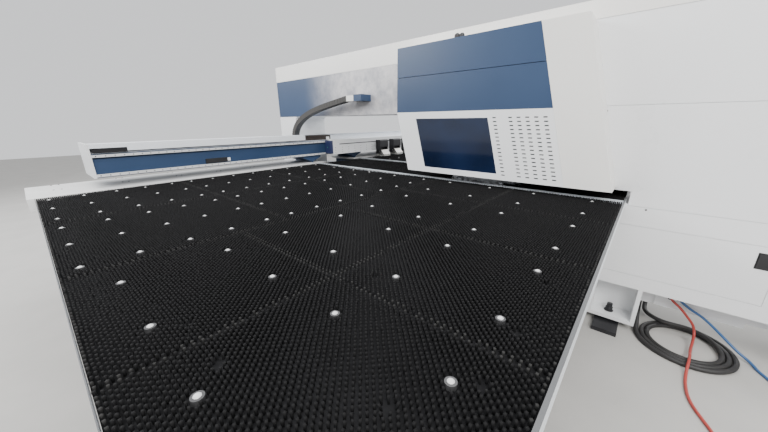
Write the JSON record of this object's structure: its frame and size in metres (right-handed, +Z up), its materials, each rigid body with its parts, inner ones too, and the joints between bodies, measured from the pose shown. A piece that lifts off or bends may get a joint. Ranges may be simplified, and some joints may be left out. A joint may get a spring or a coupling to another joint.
{
  "type": "cnc turret punch press",
  "caption": "Closed-frame CNC turret punch press with brush tables on both sides, a travelling beam with sheet clamps, and turret covers with lifting doors.",
  "frame": {"origin": "on the floor, in the middle of the frame's footprint", "axes": "+X along the beam, towards the side away from the picture's camera; +Y from the front of the frame to its rear; +Z up"},
  "size_m": [5.79, 5.614, 2.206],
  "materials": {
    "white_paint": "warm white enamel",
    "frame_paint": "warm white enamel",
    "blue_paint": "grey-blue enamel",
    "tinted_glass": "dark blue tinted pane",
    "black_plastic": "matt black",
    "ground_steel": "ground",
    "brush_bristle": "black nylon bristle",
    "aluminium": "clear anodised",
    "black_iron": "blackened",
    "jaw_steel": "ground",
    "cable_black": "black sheath",
    "hose_red": "red tube",
    "hose_blue": "blue tube"
  },
  "bodies": {
    "machine": {"o_frame": "frame_paint", "top_cover": "white_paint", "bridge_panel_left": "blue_paint", "bridge_panel_right": "blue_paint", "column_panels": "white_paint", "head_shell_left": "white_paint", "head_shell_right": "white_paint", "head_upper_panel_left": "blue_paint", "head_upper_panel_right": "blue_paint", "roof_gland": "black_plastic", "ram_cylinder": "ground_steel", "table_frame_left": "white_paint", "table_frame_right": "white_paint", "brush_left": "brush_bristle", "brush_right": "brush_bristle", "brush_centre": "brush_bristle", "ball_transfers": "ground_steel", "edge_strips": "aluminium", "rear_deck_left": "white_paint", "rear_deck_right": "white_paint", "y_rails": "ground_steel", "y_motor": "black_plastic", "chain_bracket": "blue_paint", "y_chain": "black_plastic", "foot_brackets": "white_paint", "levelling_bolts": "black_iron", "supply_cable": "cable_black", "supply_cable_coil": "cable_black", "red_hose": "hose_red", "red_hose_coil": "hose_red", "blue_hose": "hose_blue", "blue_hose_coil": "hose_blue"},
    "cabinet_door": {"cabinet_door": "white_paint"},
    "latch": {"door_latch": "black_plastic"},
    "head_door_left": {"head_door_left": "white_paint", "head_door_cap_left": "blue_paint", "head_window_left": "tinted_glass"},
    "head_door_right": {"head_door_right": "white_paint", "head_door_cap_right": "blue_paint", "head_window_right": "tinted_glass"},
    "turret_upper": {"upper_turret": "ground_steel", "punches": "ground_steel"},
    "turret_lower": {"lower_turret": "ground_steel", "dies": "ground_steel"},
    "ram": {"ram": "ground_steel"},
    "beam": {"saddle": "blue_paint", "x_beam": "blue_paint", "beam_ends": "white_paint", "chain_channel": "white_paint", "x_rails": "ground_steel"},
    "y_screw": {"y_screw": "ground_steel"},
    "x_screw": {"x_screw": "ground_steel"},
    "carriage": {"x_carriage": "aluminium", "x_chain": "black_plastic"},
    "clamp_1": {"clamp_1": "black_iron"},
    "clamp_2": {"clamp_2": "black_iron"},
    "clamp_3": {"clamp_3": "black_iron"},
    "jaw_1": {"jaw_1": "jaw_steel"},
    "jaw_2": {"jaw_2": "jaw_steel"},
    "jaw_3": {"jaw_3": "jaw_steel"}
  },
  "joints": [
    {"name": "cabinet_door_hinge", "type": "hinge", "parent": "machine", "child": "cabinet_door", "pos_m": [-0.255, -1.29, 0.6], "axis": [0, 0, -1], "range_deg": [0, 110]},
    {"name": "latch_hinge", "type": "hinge", "parent": "cabinet_door", "child": "latch", "pos_m": [-0.261, -2.03, 0.749], "axis": [0, 1, 0], "range_deg": [0, 60]},
    {"name": "head_door_left_hinge", "type": "hinge", "parent": "machine", "child": "head_door_left", "pos_m": [-0.505, -0.2, 1.842], "axis": [0, 1, 0], "range_deg": [0, 80]},
    {"name": "head_door_right_hinge", "type": "hinge", "parent": "machine", "child": "head_door_right", "pos_m": [0.505, -0.2, 1.842], "axis": [0, -1, 0], "range_deg": [0, 80]},
    {"name": "upper_turret_turn", "type": "hinge", "parent": "machine", "child": "turret_upper", "pos_m": [0, -0.3, 1.05], "axis": [0, 0, 1], "continuous": true},
    {"name": "lower_turret_turn", "type": "hinge", "parent": "machine", "child": "turret_lower", "pos_m": [0, -0.3, 0.9], "axis": [0, 0, 1], "continuous": true},
    {"name": "ram_stroke", "type": "slide", "parent": "machine", "child": "ram", "axis": [0, 0, 1], "range_m": [-0.025, 0]},
    {"name": "y_travel", "type": "slide", "parent": "machine", "child": "beam", "axis": [0, -1, 0], "range_m": [0, 1.25], "deforming": ["y_chain"]},
    {"name": "y_screw_turn", "type": "hinge", "parent": "machine", "child": "y_screw", "pos_m": [-0.323, 1.5, 0.895], "axis": [0, 1, 0], "continuous": true},
    {"name": "x_travel", "type": "slide", "parent": "beam", "child": "carriage", "axis": [1, 0, 0], "range_m": [-1.74, 0.76]},
    {"name": "x_screw_turn", "type": "hinge", "parent": "beam", "child": "x_screw", "pos_m": [0, 1.945, 1.15], "axis": [1, 0, 0], "continuous": true},
    {"name": "clamp_1_slide", "type": "slide", "parent": "carriage", "child": "clamp_1", "axis": [1, 0, 0], "range_m": [-0.55, 0.065]},
    {"name": "jaw_1_hinge", "type": "hinge", "parent": "clamp_1", "child": "jaw_1", "pos_m": [0.805, 1.722, 1.046], "axis": [-1, 0, 0], "range_deg": [0, 15]},
    {"name": "clamp_2_slide", "type": "slide", "parent": "carriage", "child": "clamp_2", "axis": [1, 0, 0], "range_m": [-0.065, 0.065]},
    {"name": "jaw_2_hinge", "type": "hinge", "parent": "clamp_2", "child": "jaw_2", "pos_m": [1.125, 1.722, 1.046], "axis": [-1, 0, 0], "range_deg": [0, 15]},
    {"name": "clamp_3_slide", "type": "slide", "parent": "carriage", "child": "clamp_3", "axis": [1, 0, 0], "range_m": [-0.065, 0.17]},
    {"name": "jaw_3_hinge", "type": "hinge", "parent": "clamp_3", "child": "jaw_3", "pos_m": [1.445, 1.722, 1.046], "axis": [-1, 0, 0], "range_deg": [0, 15]}
  ],
  "couplings": [
    {"joint": "lower_turret_turn", "follows": "upper_turret_turn", "ratio": 1},
    {"joint": "y_screw_turn", "follows": "y_travel", "rad_per_m": 157.08},
    {"joint": "x_screw_turn", "follows": "x_travel", "rad_per_m": 157.08}
  ]
}
